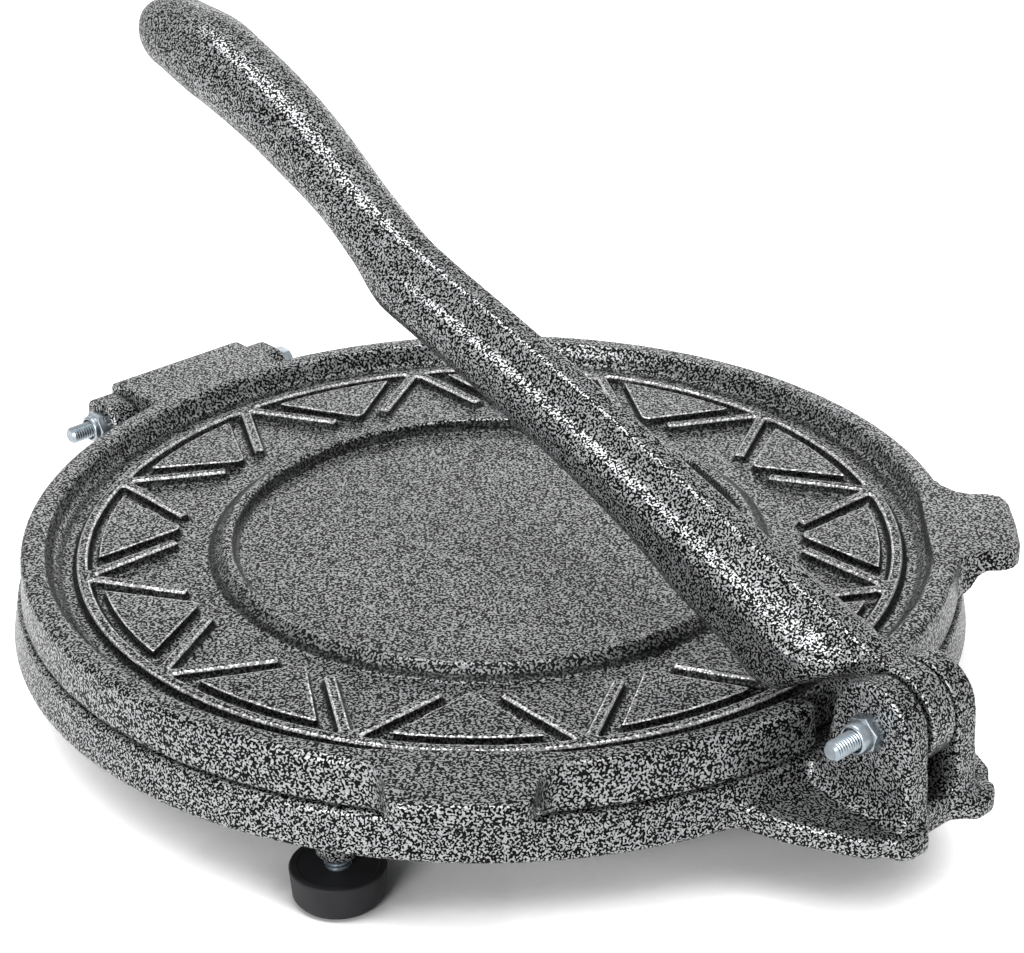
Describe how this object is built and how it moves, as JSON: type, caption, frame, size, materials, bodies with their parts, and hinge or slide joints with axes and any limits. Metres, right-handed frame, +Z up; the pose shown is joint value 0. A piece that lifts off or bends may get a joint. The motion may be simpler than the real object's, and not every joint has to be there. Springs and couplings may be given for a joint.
{
  "type": "tortilla press",
  "caption": "Cast-iron hand press for flattening dough: two round hinged plates, the upper with a cast sun-ray ornament, squeezed by a long hinged lever.",
  "frame": {"origin": "on the table, under the middle of the press's footprint (0.0093 m in front of the plates' axis)", "axes": "+Z up; -Y towards the lever bracket and the cook; +Y towards the plate hinge; +X along the hinge and lever pins"},
  "size_m": [0.3132, 0.3724, 0.1947],
  "materials": {
    "hammertone_iron": "dark grey hammertone paint, glossy, over cast iron",
    "zinc_plate": "bright zinc plate",
    "rubber": "matt black",
    "nylon": "satin"
  },
  "bodies": {
    "base": {"base_plate": "hammertone_iron", "lever_bolt": "zinc_plate", "lever_washer": "zinc_plate", "lever_nut": "zinc_plate", "lever_nut_insert": "nylon", "hinge_bolt": "zinc_plate", "hinge_washer": "zinc_plate", "hinge_nut": "zinc_plate", "hinge_nut_insert": "nylon", "foot_pad_1": "rubber", "foot_stud_1": "zinc_plate", "foot_disc_1": "zinc_plate", "foot_pad_2": "rubber", "foot_stud_2": "zinc_plate", "foot_disc_2": "zinc_plate", "foot_pad_3": "rubber", "foot_stud_3": "zinc_plate", "foot_disc_3": "zinc_plate"},
    "upper": {"top_plate": "hammertone_iron"},
    "handle": {"lever": "hammertone_iron"}
  },
  "joints": [
    {"name": "lever_pivot", "type": "hinge", "parent": "base", "child": "handle", "pos_m": [0, -0.1659, 0.0559], "axis": [1, 0, 0], "range_deg": [0, 165]},
    {"name": "plate_hinge", "type": "hinge", "parent": "base", "child": "upper", "pos_m": [0, 0.1757, 0.042], "axis": [-1, 0, 0], "range_deg": [0, 105]}
  ],
  "couplings": [
    {"joint": "plate_hinge", "follows": "lever_pivot", "ratio": 0.1}
  ]
}
